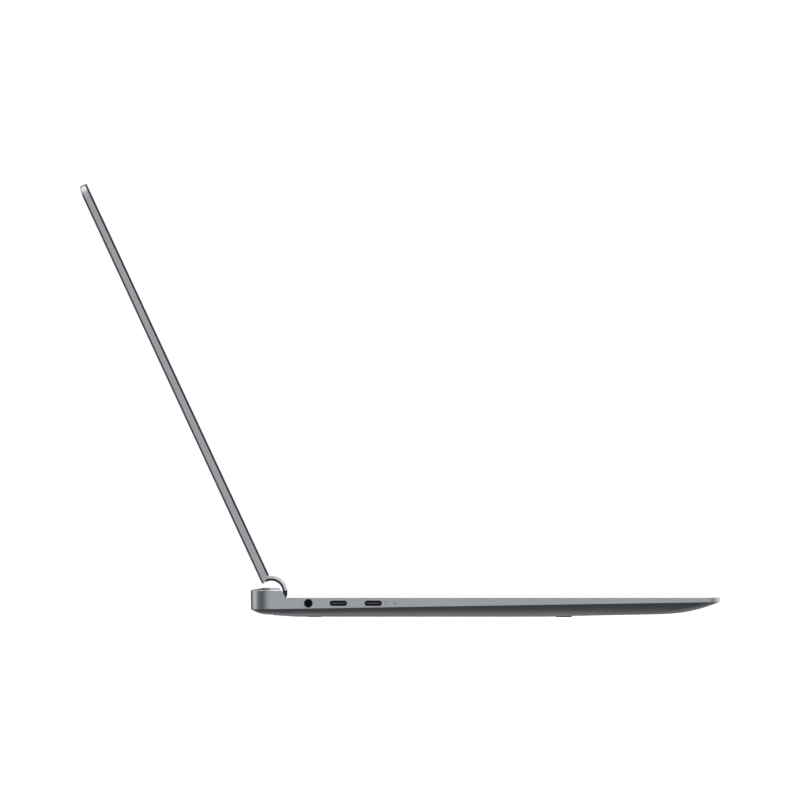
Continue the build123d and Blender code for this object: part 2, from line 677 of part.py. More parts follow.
def usb_port(y):
    """A metal sleeve with a thin contact tongue, its mouth towards -X."""
    mouth = -HALF_W + SIDE_WALL
    plane = Plane(origin=(mouth, y, PORT_Z), x_dir=(0, 1, 0), z_dir=(1, 0, 0))
    outer = SlotOverall(USB_OPEN[0] + 2 * USB_SLEEVE_WALL, USB_OPEN[1] + 2 * USB_SLEEVE_WALL)
    sleeve = extrude(plane * outer, USB_LENGTH) - extrude(plane * SlotOverall(*USB_OPEN), USB_LENGTH - 0.8)
    half_wide, half_high = USB_TONGUE[0] / 2, USB_TONGUE[1] / 2
    tongue = block((mouth + 0.9, mouth + USB_LENGTH - 0.4), (y - half_wide, y + half_wide),
                   (PORT_Z - half_high, PORT_Z + half_high))
    return sleeve + tongue


def audio_jack():
    """A square body with a round nose in the side wall and one bore right through both."""
    mouth = -HALF_W + SIDE_WALL
    nose_start = -HALF_W + 0.1
    body = block((mouth, mouth + JACK_LENGTH), (JACK_Y - 3.1, JACK_Y + 3.1), (PORT_Z - 2.4, PORT_Z + 2.1))
    along = Rot(0, 90, 0)
    nose = Pos((nose_start + mouth) / 2, JACK_Y, PORT_Z) * along * Cylinder(JACK_NOSE_R, mouth - nose_start)
    bore_end = mouth + JACK_LENGTH - 0.8
    bore_middle = Pos((nose_start + bore_end) / 2, JACK_Y, PORT_Z)
    return body + nose - bore_middle * along * Cylinder(JACK_BORE_R, bore_end - nose_start)


def charging_light():
    """A clear pin that carries the light through the side wall."""
    plane = Plane(origin=(-HALF_W + 0.05, LIGHT_Y, PORT_Z), x_dir=(0, 1, 0), z_dir=(1, 0, 0))
    return extrude(plane * SlotOverall(LIGHT_SLOT[0] - 0.04, LIGHT_SLOT[1] - 0.04), SIDE_WALL + 1.4)


def io_board():
    """The small board that carries both sockets and the light."""
    return block((-HALF_W + 4.5, -HALF_W + 12.0), (40, JACK_Y - 3.4), (PORT_Z - 2.3, PORT_Z - 1.6))


# ---- inside the base ----

def motherboard():
    """A T-shaped board: a wide front part and a tongue between the two fans."""
    z = (BOARD_LOW, BOARD_LOW + BOARD_THICK)
    board = block((-136, 96), (-19, 34), z, 1.5) + block((-43, 43), (30, 82), z, 1.5)
    for x, y in SCREW_SPOTS:
        board -= upright(x, y, POST_R + 0.8, BOARD_LOW - 1, BOARD_LOW + 2)
    return board


def processor():
    """The processor package and its memory chips, on the underside of the board."""
    chips = [block((-12, 12), (38, 66), (PROCESSOR_LOW, BOARD_LOW))]
    chips += [block((x, x + 11), (8, 22), (MEMORY_LOW, BOARD_LOW)) for x in MEMORY_X]
    return chips


def heat_pipe():
    """A flattened copper pipe across the rear, and the plate that brings it the processor's heat."""
    z = (PIPE_LOW, PIPE_LOW + PIPE_THICK)
    cross = block((-88, 88), (86, 93), z, 3.4)
    plate = block((-13, 13), (37, 90), z, 2)
    return cross + plate + block((-11, 11), (39, 65), (z[1], PROCESSOR_LOW))


def heat_sink_fins():
    """A row of thin fins behind each fan, on the pipe."""
    low = PIPE_LOW + PIPE_THICK
    sink = block(FIN_X, FIN_Y, (low, low + 0.5))
    for index in range(FIN_COUNT):
        x = FIN_X[0] + index * FIN_PITCH
        sink += block((x, x + FIN_THICK), FIN_Y, (low + 0.4, DECK_UNDER - 0.2))
    return list(both_sides(sink))


def fan_housing():
    """The right-hand fan box: open at the rear, with a round inlet below and a fixed shaft."""
    x = (FAN_X - FAN_HALF, FAN_X + FAN_HALF)
    shell = block(x, (FAN_Y - FAN_HALF, FAN_Y + FAN_HALF), (FAN_LOW, FAN_HIGH), 4)
    inside = (FAN_LOW + FAN_WALL, FAN_HIGH - FAN_WALL)
    room = upright(FAN_X, FAN_Y, FAN_CAVITY_R, *inside)
    outlet = block((x[0] + 3, x[1] - 3), (FAN_Y, FAN_Y + FAN_HALF + 1), inside)
    inlet = upright(FAN_X, FAN_Y, FAN_INLET_R, FAN_LOW - 1, FAN_LOW + 1)
    shell -= [room, outlet, inlet]
    return shell + upright(FAN_X, FAN_Y, SHAFT_R, FAN_LOW + 1.5, inside[1])


def fan_impeller():
    """The right-hand impeller: a hub hung on the shaft, a thin disc and a ring of blades."""
    low = FAN_LOW + 0.75
    high = FAN_HIGH - 0.75
    hub = upright(FAN_X, FAN_Y, HUB_R, low, high)
    wheel = hub + upright(FAN_X, FAN_Y, IMPELLER_R - 1, high - 0.4, high)
    length = IMPELLER_R - HUB_R + 0.6
    for index in range(BLADES):
        blade = Pos(HUB_R - 0.6 + length / 2, 0, (low + high) / 2) * Box(length, 0.5, high - low)
        wheel += Pos(FAN_X, FAN_Y, 0) * Rot(0, 0, index * 360 / BLADES) * blade
    return wheel - upright(FAN_X, FAN_Y, SHAFT_R + TRACK_PLAY, low + 0.5, high)


def battery_cells():
    """Four flat pouch cells side by side, clear of the screw posts."""
    return [block(x, BATTERY_Y, (BATTERY_LOW, BATTERY_TOP), 2) for x in BATTERY_X]


def ssd_card():
    """A long card with three storage chips on top."""
    top = SSD_LOW + SSD_THICK
    board = block((100, 122), (2, 82), (SSD_LOW, top))
    for y in (12, 30, 48):
        board += block((103, 119), (y, y + 13), (top, top + 1))
    return board


def speaker():
    """The right-hand speaker box, with a shallow round cone facing down."""
    low = INNER_FLOOR + 1.3
    box = block(SPEAKER_X, SPEAKER_Y, (low, DECK_UNDER - 0.3), 3)
    return box - upright(SPEAKER_SLOT_X, SPEAKER_SLOT_Y, SPEAKER_CONE_R, INNER_FLOOR, low + 0.7)


def touchpad_bracket():
    """The steel tray under the touchpad: it hangs from the deck and carries the click switch."""
    edge = PAD_HALF_W + 1 + TRAY_RAIL
    y = (PAD_FRONT + 2, PAD_REAR - 2)
    top = TRAY_LOW + TRAY_THICK
    tray = block((-edge, edge), y, (TRAY_LOW, top))
    for rail in both_sides(block((edge - TRAY_RAIL, edge), y, (top, DECK_UNDER))):
        tray += rail
    return tray + upright(0, PAD_FRONT + 12, 2.5, top, top + 0.15)


def touchpad():
    pad = block((-PAD_HALF_W, PAD_HALF_W), (PAD_FRONT, PAD_REAR), (PAD_TOP - PAD_THICK, PAD_TOP), PAD_CORNER)
    return chamfer(pad.faces().sort_by(Axis.Z)[-1].edges(), 0.15)


def parts():
    """Every node of the assembly by name."""
    nodes = {"top_case": top_case(), "bottom_cover": bottom_cover(), "bottom_screws": bottom_screws(),
             "hinge_track_screws": track_screws(), "keyboard_plate": keyboard_plate(),
             "key_domes": key_domes(), "motherboard": motherboard(),
             "processor": processor(), "heat_pipe": heat_pipe(),
             "heat_sink_fins": heat_sink_fins(), "battery_cells": battery_cells(), "ssd_card": ssd_card(),
             "io_board": io_board(), "audio_jack": audio_jack(), "usb_c_port_rear": usb_port(USB_REAR_Y),
             "usb_c_port_front": usb_port(USB_FRONT_Y), "charging_light": charging_light(),
             "touchpad_bracket": touchpad_bracket(), "touchpad": touchpad()}
    for name, (x, y) in FOOT_STRIPS.items():
        nodes[name] = rubber_foot(x, y)
    for name, shape in (("hinge_track", hinge_track()), ("fan_housing", fan_housing()),
                        ("fan_impeller", fan_impeller()), ("speaker", speaker())):
        nodes[name + "_right"], nodes[name + "_left"] = both_sides(shape)
    nodes.update(key_nodes())
    lid = {"lid_back_cover": lid_back_cover(), "lid_gasket": lid_gasket(), "display_glass": display_glass(),
           "display_panel": display_panel(), "camera_module": camera_module(),
           "microphone_board": microphone_board(), "lid_magnets": lid_magnets(),
           "lid_hinge_screws": lid_hinge_screws()}
    for name, shape in (("hinge_arm", hinge_arm()), ("hinge_cover", hinge_cover())):
        lid[name + "_right"], lid[name + "_left"] = both_sides(shape)
    for name, shape in lid.items():
        pieces = shape if isinstance(shape, list) else [shape]
        nodes[name] = [at_rest(piece) for piece in pieces]
    return nodes


os.makedirs("parts", exist_ok=True)
for name, shape in parts().items():
    pieces = shape if isinstance(shape, list) else [shape]
    solids = [solid for piece in pieces for solid in piece.solids()]
    export_step(Compound(solids) if len(solids) > 1 else solids[0], f"parts/{name}.step")
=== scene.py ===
import math

import bmesh
import bpy
from mathutils import Matrix, Vector


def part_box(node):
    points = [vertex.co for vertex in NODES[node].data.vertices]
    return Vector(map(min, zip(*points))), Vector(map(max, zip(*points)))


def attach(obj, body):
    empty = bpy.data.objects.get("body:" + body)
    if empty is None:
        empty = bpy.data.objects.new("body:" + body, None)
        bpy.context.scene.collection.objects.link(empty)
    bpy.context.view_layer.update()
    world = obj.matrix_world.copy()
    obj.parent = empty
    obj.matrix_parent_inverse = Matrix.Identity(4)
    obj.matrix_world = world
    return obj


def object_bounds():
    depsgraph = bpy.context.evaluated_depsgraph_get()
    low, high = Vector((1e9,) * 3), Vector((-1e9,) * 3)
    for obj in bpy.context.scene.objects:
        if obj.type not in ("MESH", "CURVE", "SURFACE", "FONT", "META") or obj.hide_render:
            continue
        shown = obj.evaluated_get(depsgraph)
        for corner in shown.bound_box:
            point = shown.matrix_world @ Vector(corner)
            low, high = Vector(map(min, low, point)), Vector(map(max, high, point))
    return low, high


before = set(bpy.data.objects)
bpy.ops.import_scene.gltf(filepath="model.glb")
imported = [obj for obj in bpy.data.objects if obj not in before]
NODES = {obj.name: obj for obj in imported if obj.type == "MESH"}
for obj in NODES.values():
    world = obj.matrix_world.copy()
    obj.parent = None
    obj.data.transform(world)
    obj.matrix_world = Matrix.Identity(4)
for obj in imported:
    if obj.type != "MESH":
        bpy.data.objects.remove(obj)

cad_low, cad_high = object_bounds()
MM = 0.001

# Base colours, as linear red, green and blue.
BODY_GREY = (0.375, 0.395, 0.425)
UNDERSIDE_GREY = (0.33, 0.35, 0.375)
KEY_BLACK = (0.018, 0.018, 0.02)
SLEEVE_BLACK = (0.014, 0.014, 0.016)
TONGUE_GREY = (0.07, 0.07, 0.075)
BORDER_BLACK = (0.0035, 0.0035, 0.004)
PICTURE_GREY = (0.010, 0.011, 0.014)
BOARD_GREEN = (0.01, 0.035, 0.02)
TRACK_DARK = (0.008, 0.03, 0.018)
TRACK_PALE = (0.02, 0.07, 0.04)
LIGHT_PIPE_GREY = (0.10, 0.10, 0.11)
FLOOR_WHITE = (0.93, 0.93, 0.93)

# Printed marks, and the tongue in the sockets.
TONGUE_HALF = 0.4 * MM            # half the height of the contact tongue in a USB-C opening
INK_THICKNESS = 0.015 * MM
MERGE_DISTANCE = 0.001 * MM       # points closer than this are one point
LETTER_SIZE = 4.6 * MM            # legends of one character
WORD_SIZE = 2.9 * MM              # longer legends
LEGEND_CURVE_STEPS = 3
ARROW_HALF_WIDTH = 1.5 * MM
POWER_RING = (1.15 * MM, 1.45 * MM)
POWER_RING_STEPS = 28
POWER_RING_OPENING = 38           # degrees either side of the top
POWER_BAR_HALF = 0.15 * MM
POWER_BAR_ENDS = (0.3 * MM, 1.7 * MM)
PORT_MARK_GAP = 1.4 * MM          # the dash's middle forward of the front socket
PORT_MARK_SIZE = (0.4 * MM, 2.2 * MM)
PORT_MARK_CORNER = 0.1 * MM

# Studio light from each height, 0 straight down and 1 straight up, and from each bearing in degrees, 0 at
# the user's left (-X) and 90 behind the rear edge (+Y). Above OVERHEAD_HEIGHT the bearing has no effect.
LIGHT_BY_HEIGHT = [(0.0, 0.17), (0.05, 0.18), (0.15, 0.25), (0.3, 0.36), (0.44, 0.5), (0.5, 0.96),
                   (0.68, 0.96), (0.76, 0.80), (0.86, 0.95), (0.93, 1.8), (1.0, 2.2)]
LIGHT_BY_BEARING = [(-180, 1.0), (-170, 0.7), (-145, 0.8), (-128, 1.7), (-100, 1.7), (-84, 1.1),
                    (-64, 0.6), (-46, 0.65), (-20, 1.15), (20, 1.15), (44, 0.24), (76, 0.22), (88, 0.65),
                    (104, 1.65), (116, 1.9), (132, 0.15), (168, 0.1), (178, 1.0)]
SIDES_END_HEIGHT = 0.68
OVERHEAD_HEIGHT = 0.79
SUN_FROM = (-0.1, 0.05, 1.0)
SUN_SPREAD = 70                   # degrees across
SUN_STRENGTH = 0.45
FLOOR_REACH = 60.0

# Camera.
LENS = 1700.0
SENSOR_WIDTH = 36.0
FRAME_WIDTH = 385.6 * MM          # what the picture's width covers at the near side wall
EYE_FORWARD = 13.5 * MM           # the eye's place forward of the rear edge
AIM_FORWARD = 71.9 * MM           # the picture's middle, forward of the rear edge
AIM_HEIGHT = 104.68 * MM
CLIP_RANGE = (1.0, 200.0)


# ---- node helpers ----

def new_material(name, colour, metallic, roughness):
    """An empty Principled material; fixed numbers are set on the shader's own sockets."""
    material = bpy.data.materials.new(name)
    material.use_nodes = True
    tree = material.node_tree
    shader = tree.nodes["Principled BSDF"]
    shader.inputs["Base Color"].default_value = (*colour, 1)
    shader.inputs["Metallic"].default_value = metallic
    shader.inputs["Roughness"].default_value = roughness
    return material, tree, shader


def node(tree, kind, **settings):
    """A shader node with its properties and its numbered or named inputs set."""
    made = tree.nodes.new(kind)
    for key, value in settings.items():
        if hasattr(made, key):
            setattr(made, key, value)
        else:
            made.inputs[key.replace("_", " ")].default_value = value
    return made


def position(tree, stretch=(1, 1, 1)):
    """Places on the object in metres, stretched along an axis for brushed or woven looks."""
    place = node(tree, "ShaderNodeTexCoord")
    mapping = node(tree, "ShaderNodeMapping", Scale=stretch)
    tree.links.new(place.outputs["Object"], mapping.inputs["Vector"])
    return mapping.outputs["Vector"]


def noise(tree, scale, detail=3.0, stretch=(1, 1, 1)):
    """A cloudy pattern over the object."""
    made = node(tree, "ShaderNodeTexNoise", Scale=scale, Detail=detail)
    tree.links.new(position(tree, stretch), made.inputs["Vector"])
    return made.outputs["Fac"]


def ramp(tree, fac, stops):
    """A colour ramp; each stop is (place, value or colour)."""
    made = tree.nodes.new("ShaderNodeValToRGB")
    elements = made.color_ramp.elements
    while len(elements) < len(stops):
        elements.new(0.5)
    for element, (place, value) in zip(elements, stops):
        element.position = place
        element.color = (*value, 1) if isinstance(value, tuple) else (value, value, value, 1)
    tree.links.new(fac, made.inputs["Fac"])
    return made.outputs["Color"]


def math_node(tree, operation, first, second=None):
    """A sum or comparison of numbers or node outputs."""
    made = node(tree, "ShaderNodeMath", operation=operation)
    for index, value in enumerate((first, second)):
        if isinstance(value, (int, float)):
            made.inputs[index].default_value = value
        elif value is not None:
            tree.links.new(value, made.inputs[index])
    return made.outputs[0]


def within(tree, spans):
    """1 where the place on the object lies in every (axis, low, high) span, else 0."""
    place = node(tree, "ShaderNodeTexCoord")
    parts = node(tree, "ShaderNodeSeparateXYZ")
    tree.links.new(place.outputs["Object"], parts.inputs["Vector"])
    inside = 1.0
    for axis, low, high in spans:
        above = math_node(tree, "GREATER_THAN", parts.outputs[axis], low)
        below = math_node(tree, "LESS_THAN", parts.outputs[axis], high)
        inside = math_node(tree, "MULTIPLY", math_node(tree, "MULTIPLY", above, below), inside)
    return inside


def bump(tree, shader, height, strength, distance):
    """Fine relief from a height pattern."""
    made = node(tree, "ShaderNodeBump", Strength=strength, Distance=distance)
    tree.links.new(height, made.inputs["Height"])
    tree.links.new(made.outputs["Normal"], shader.inputs["Normal"])


def tint(colour, factor):
    return tuple(channel * factor for channel in colour)


def varied(tree, shader, colour, spread, scale, stretch=(1, 1, 1)):
    """Slow colour variation about one colour."""
    stops = [(0.3, tint(colour, 1 - spread)), (0.7, tint(colour, 1 + spread))]
    tree.links.new(ramp(tree, noise(tree, scale, 4, stretch), stops), shader.inputs["Base Color"])


def rough_between(tree, shader, low, high, scale, stretch=(1, 1, 1)):
    """Roughness that wanders between two values."""
    patches = ramp(tree, noise(tree, scale, 5, stretch), [(0.3, low), (0.7, high)])
    tree.links.new(patches, shader.inputs["Roughness"])


# ---- materials ----

def anodised(name, colour, low, high):
    """Bead-blasted, anodised aluminium: a very fine grain with slight patches and handling marks."""
    material, tree, shader = new_material(name, colour, 1.0, low)
    varied(tree, shader, colour, 0.006, 14)
    rough_between(tree, shader, low, high, 60)
    bump(tree, shader, noise(tree, 5200, 2), 0.16, 0.06 * MM)
    return material


def brushed(name, colour, low, high, stretch):
    """Metal with fine lines along the axis that has the smallest stretch."""
    material, tree, shader = new_material(name, colour, 1.0, low)
    varied(tree, shader, colour, 0.08, 700, stretch)
    rough_between(tree, shader, low, high, 900, stretch)
    bump(tree, shader, noise(tree, 1500, 3, stretch), 0.2, 0.05 * MM)
    return material


def moulded(name, colour, low, high, grain_scale=2600, depth=0.05 * MM, spread=0.12):
    """Moulded plastic or rubber with a fine spark texture."""
    material, tree, shader = new_material(name, colour, 0.0, low)
    varied(tree, shader, colour, spread, 55)
    rough_between(tree, shader, low, high, 160)
    bump(tree, shader, noise(tree, grain_scale, 2), 0.35, depth)
    return material


def key_plastic():
    """Matt key caps, faintly polished where fingers touch."""
    material, tree, shader = new_material("key_cap_plastic", KEY_BLACK, 0.0, 0.5)
    varied(tree, shader, KEY_BLACK, 0.15, 70)
    rough_between(tree, shader, 0.42, 0.58, 55)
    shader.inputs["Specular IOR Level"].default_value = 0.42
    bump(tree, shader, noise(tree, 3800, 2), 0.3, 0.04 * MM)
    return material


def cover_glass(panel_low, panel_high):
    """Cover glass over a black border and a dark blue-grey picture area."""
    material, tree, shader = new_material("display_cover_glass", (0.004, 0.004, 0.005), 0.0, 0.04)
    shader.inputs["IOR"].default_value = 1.5
    shader.inputs["Coat Weight"].default_value = 0.35
    shader.inputs["Coat Roughness"].default_value = 0.02
    inside = within(tree, ((0, panel_low[0], panel_high[0]), (2, panel_low[2], panel_high[2])))
    picture = ramp(tree, inside, [(0.0, BORDER_BLACK), (1.0, PICTURE_GREY)])
    tree.links.new(picture, shader.inputs["Base Color"])
    rough_between(tree, shader, 0.03, 0.06, 25)
    return material


def touchpad_glass(colour):
    """Etched glass in the colour of the deck."""
    material, tree, shader = new_material("touchpad_etched_glass", colour, 0.55, 0.38)
    varied(tree, shader, colour, 0.03, 30)
    rough_between(tree, shader, 0.34, 0.40, 60)
    bump(tree, shader, noise(tree, 6000, 2), 0.08, 0.03 * MM)
    return material


def circuit_board():
    """Dark solder mask over fine copper tracks."""
    material, tree, shader = new_material("circuit_board_mask", BOARD_GREEN, 0.0, 0.35)
    tracks = node(tree, "ShaderNodeTexWave", Scale=260, Distortion=6.0, Detail=2.0)
    tree.links.new(position(tree), tracks.inputs["Vector"])
    copper = ramp(tree, tracks.outputs["Fac"], [(0.45, TRACK_DARK), (0.6, TRACK_PALE)])
    tree.links.new(copper, shader.inputs["Base Color"])
    rough_between(tree, shader, 0.3, 0.42, 120)
    bump(tree, shader, tracks.outputs["Fac"], 0.3, 0.04 * MM)
    return material


def printed_ink(name, colour):
    """Thin, very slightly uneven ink."""
    material, tree, shader = new_material(name, colour, 0.0, 0.55)
    varied(tree, shader, colour, 0.06, 900)
    return material


def socket(middle_z):
    """A blackened steel sleeve round a paler contact tongue, which lies at its middle height."""
    material, tree, shader = new_material("blackened_sleeve", SLEEVE_BLACK, 0.6, 0.35)
    tongue = within(tree, ((2, middle_z - TONGUE_HALF, middle_z + TONGUE_HALF),))
    colours = ramp(tree, tongue, [(0.0, SLEEVE_BLACK), (1.0, TONGUE_GREY)])
    tree.links.new(colours, shader.inputs["Base Color"])
    rough_between(tree, shader, 0.3, 0.42, 400)
    bump(tree, shader, noise(tree, 3000, 2), 0.2, 0.03 * MM)
    return material


def light_pipe():
    """Smoked plastic of the charging light."""
    material, tree, shader = new_material("light_pipe_smoked", LIGHT_PIPE_GREY, 0.0, 0.3)
    varied(tree, shader, LIGHT_PIPE_GREY, 0.1, 600)
    return material


glass_low, glass_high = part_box("display_panel")
socket_low, socket_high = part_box("usb_c_port_rear")
MATERIALS = {
    "body_metal": anodised("anodised_grey", BODY_GREY, 0.32, 0.345),
    "under_metal": anodised("anodised_grey_underside", UNDERSIDE_GREY, 0.34, 0.365),
    "hinge_metal": brushed("turned_aluminium", (0.62, 0.63, 0.65), 0.2, 0.3, (0.02, 1, 1)),
    "black_steel": brushed("black_oxide_steel", (0.035, 0.035, 0.038), 0.32, 0.45, (0.03, 1, 1)),
    "bare_steel": brushed("stamped_steel", (0.42, 0.42, 0.43), 0.28, 0.4, (0.2, 1, 1)),
    "socket_metal": socket((socket_low[2] + socket_high[2]) / 2),
    "rubber": moulded("black_rubber", (0.014, 0.014, 0.015), 0.6, 0.75, 1800, 0.1 * MM),
    "foot_rubber": moulded("grey_rubber", (0.10, 0.10, 0.105), 0.6, 0.75, 1800, 0.1 * MM),
    "plastic": moulded("black_plastic", (0.02, 0.02, 0.022), 0.4, 0.55),
    "pouch": moulded("battery_foil", (0.05, 0.05, 0.055), 0.3, 0.45, 900, 0.1 * MM),
    "copper": brushed("satin_copper", (0.72, 0.36, 0.22), 0.25, 0.4, (0.05, 1, 1)),
    "fins": brushed("fin_aluminium", (0.7, 0.7, 0.72), 0.3, 0.4, (1, 0.1, 1)),
    "board": circuit_board(),
    "glass": cover_glass(glass_low, glass_high),
    "pad": touchpad_glass(BODY_GREY),
    "keys": key_plastic(),
    "ink": printed_ink("legend_ink", (0.62, 0.63, 0.65)),
    "dark_ink": printed_ink("side_mark_ink", (0.12, 0.12, 0.13)),
    "light": light_pipe(),
}

FINISHES = {
    "body_metal": ["top_case", "lid_back_cover"],
    "under_metal": ["bottom_cover"],
    "hinge_metal": ["hinge_cover_left", "hinge_cover_right"],
    "black_steel": ["hinge_arm_left", "hinge_arm_right", "hinge_track_left", "hinge_track_right",
                    "bottom_screws"],
    "bare_steel": ["keyboard_plate", "touchpad_bracket", "hinge_track_screws", "lid_hinge_screws",
                   "lid_magnets"],
    "socket_metal": ["usb_c_port_rear", "usb_c_port_front"],
    "rubber": ["lid_gasket", "key_domes"],
    "foot_rubber": ["rubber_foot_rear", "rubber_foot_front"],
    "plastic": ["audio_jack", "camera_module", "fan_housing_left", "fan_housing_right", "fan_impeller_left",
                "fan_impeller_right", "speaker_left", "speaker_right", "processor", "display_panel"],
    "pouch": ["battery_cells"],
    "copper": ["heat_pipe"],
    "fins": ["heat_sink_fins"],
    "board": ["motherboard", "ssd_card", "io_board", "microphone_board"],
    "glass": ["display_glass"],
    "pad": ["touchpad"],
    "light": ["charging_light"],
    "keys": [name for name in NODES
             if name.startswith("key") and name not in ("key_domes", "keyboard_plate")] + ["power_key"],
}


def paint():
    """Gives every carried-over CAD node its finished material."""
    for finish, names in FINISHES.items():
        for name in names:
            mesh = NODES[name].data
            if not mesh.materials:
                mesh.materials.append(None)
            for index in range(len(mesh.materials)):
                mesh.materials[index] = MATERIALS[finish]


# ---- key legends ----

LEGENDS = {
    "keys_function_row": ["F" + str(number) for number in range(1, 13)] + ["del"],
    "keys_number_row": list("`1234567890-="),
    "keys_upper_letter_row": list("QWERTYUIOP[]\\"),
    "keys_home_letter_row": list("ASDFGHJKL;'"),
    "keys_lower_letter_row": list("ZXCVBNM,./"),
    "keys_modifier_row": ["ctrl", "fn", "menu", "alt", "alt", "ctrl"],
    "key_escape": ["esc"], "key_backspace": ["back"], "key_tab": ["tab"], "key_caps_lock": ["caps"],
    "key_enter": ["enter"], "key_shift_left": ["shift"], "key_shift_right": ["shift"],
}
ARROWS = {"key_arrow_up": 0, "key_arrow_left": 90, "key_arrow_down": 180, "key_arrow_right": 270}


def add_object(name, data):
    """A new object in the scene."""
    made = bpy.data.objects.new(name, data)
    bpy.context.scene.collection.objects.link(made)
    return made


def closed_mesh(shape, name):
    """Turns a working shape into a mesh and frees it."""
    mesh = bpy.data.meshes.new(name)
    shape.to_mesh(mesh)
    shape.free()
    return mesh


def caps_of(name):
    """The low and high corner of each cap of a node, from left to right."""
    mesh = bmesh.new()
    mesh.from_mesh(NODES[name].data)
    bmesh.ops.remove_doubles(mesh, verts=mesh.verts, dist=MERGE_DISTANCE)
    unseen = set(mesh.verts)
    boxes = []
    while unseen:
        edge = [unseen.pop()]
        island = []
        while edge:
            vertex = edge.pop()
            island.append(vertex.co.copy())
            for link in vertex.link_edges:
                other = link.other_vert(vertex)
                if other in unseen:
                    unseen.remove(other)
                    edge.append(other)
        low = Vector([min(point[axis] for point in island) for axis in range(3)])
        high = Vector([max(point[axis] for point in island) for axis in range(3)])
        boxes.append((low, high))
    mesh.free()
    return sorted(boxes, key=lambda item: item[0].x)


def text_mesh(text, size):
    """A word as a thin flat mesh, centred on the origin."""
    curve = bpy.data.curves.new("legend_text", "FONT")
    curve.body = text
    curve.size = size
    curve.align_x = "CENTER"
    curve.align_y = "CENTER"
    curve.extrude = INK_THICKNESS / 2
    curve.resolution_u = LEGEND_CURVE_STEPS
    holder = bpy.data.objects.new("legend_text", curve)
    mesh = bpy.data.meshes.new_from_object(holder)
    bpy.data.objects.remove(holder)
    bpy.data.curves.remove(curve)
    return mesh


def add_outline(target, points):
    """A flat printed shape from points in order, with a little thickness."""
    face = target.faces.new([target.verts.new((x, y, -INK_THICKNESS / 2)) for x, y in points])
    made = bmesh.ops.extrude_face_region(target, geom=[face])
    moved = [item for item in made["geom"] if isinstance(item, bmesh.types.BMVert)]
    bmesh.ops.translate(target, verts=moved, vec=(0, 0, INK_THICKNESS))


def arrow_mesh(turn):
    """A triangle pointing up the keyboard, turned by some degrees."""
    shape = bmesh.new()
    size = ARROW_HALF_WIDTH
    add_outline(shape, [(-size, -size * 0.6), (size, -size * 0.6), (0, size * 0.9)])
    bmesh.ops.rotate(shape, verts=shape.verts, matrix=Matrix.Rotation(math.radians(turn), 3, "Z"))
    return closed_mesh(shape, "legend_arrow")


def power_mesh():
    """An open ring and a bar, the general sign for on and off."""
    shape = bmesh.new()
    inner, outer = POWER_RING
    opening = math.radians(POWER_RING_OPENING)
    sweep = 2 * math.pi - 2 * opening
    angles = [math.pi / 2 + opening + sweep * step / POWER_RING_STEPS
              for step in range(POWER_RING_STEPS + 1)]
    for start, end in zip(angles, angles[1:]):
        corners = [(radius * math.cos(angle), radius * math.sin(angle))
                   for radius, angle in ((outer, start), (outer, end), (inner, end), (inner, start))]
        add_outline(shape, corners[::-1])
    low, high = POWER_BAR_ENDS
    add_outline(shape, [(-POWER_BAR_HALF, low), (POWER_BAR_HALF, low),
                        (POWER_BAR_HALF, high), (-POWER_BAR_HALF, high)])
    bmesh.ops.remove_doubles(shape, verts=shape.verts, dist=MERGE_DISTANCE)
    return closed_mesh(shape, "legend_power")


def legend_piece(name, meshes_at):
    """Joins the printed shapes of one key node into one piece that rides on its body."""
    joined = bmesh.new()
    for mesh, place in meshes_at:
        mesh.transform(Matrix.Translation(place))
        joined.from_mesh(mesh)
        bpy.data.meshes.remove(mesh)
    mesh = closed_mesh(joined, "legend_" + name)
    mesh.materials.append(MATERIALS["ink"])
    piece = add_object("legend_" + name, mesh)
    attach(piece, name + "_body")


def print_place(low, high):
    """Where a legend's middle lies on a cap."""
    return Vector(((low.x + high.x) / 2, (low.y + high.y) / 2, high.z + INK_THICKNESS / 2))


def add_legends():
    """Prints every cap: words, arrows and the power sign."""
    for name, words in LEGENDS.items():
        shapes = []
        for word, cap in zip(words, caps_of(name)):
            size = LETTER_SIZE if len(word) == 1 else WORD_SIZE
            shapes.append((text_mesh(word, size), print_place(*cap)))
        legend_piece(name, shapes)
    for name, turn in ARROWS.items():
        legend_piece(name, [(arrow_mesh(turn), print_place(*caps_of(name)[0]))])
    legend_piece("power_key", [(power_mesh(), print_place(*caps_of("power_key")[0]))])


# ---- printed mark beside the front socket ----

def add_port_mark():
    """A short plain dash, printed dark on the side wall beside the front socket, at its height."""
    wall_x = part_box("top_case")[0].x
    low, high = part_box("usb_c_port_front")
    middle = Vector((wall_x, low.y - PORT_MARK_GAP, (low.z + high.z) / 2))
    shape = bmesh.new()
    bmesh.ops.create_cube(shape, size=1.0)
    bmesh.ops.scale(shape, verts=shape.verts, vec=(INK_THICKNESS, *PORT_MARK_SIZE))
    across = [edge for edge in shape.edges
              if abs(edge.verts[0].co.x - edge.verts[1].co.x) > 0.5 * INK_THICKNESS]
    bmesh.ops.bevel(shape, geom=across, offset=PORT_MARK_CORNER, segments=3, affect="EDGES")
    bmesh.ops.translate(shape, verts=shape.verts, vec=middle)
    mesh = closed_mesh(shape, "port_mark")
    mesh.materials.append(MATERIALS["dark_ink"])
    piece = add_object("port_mark", mesh)
    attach(piece, "base")


# ---- stage ----

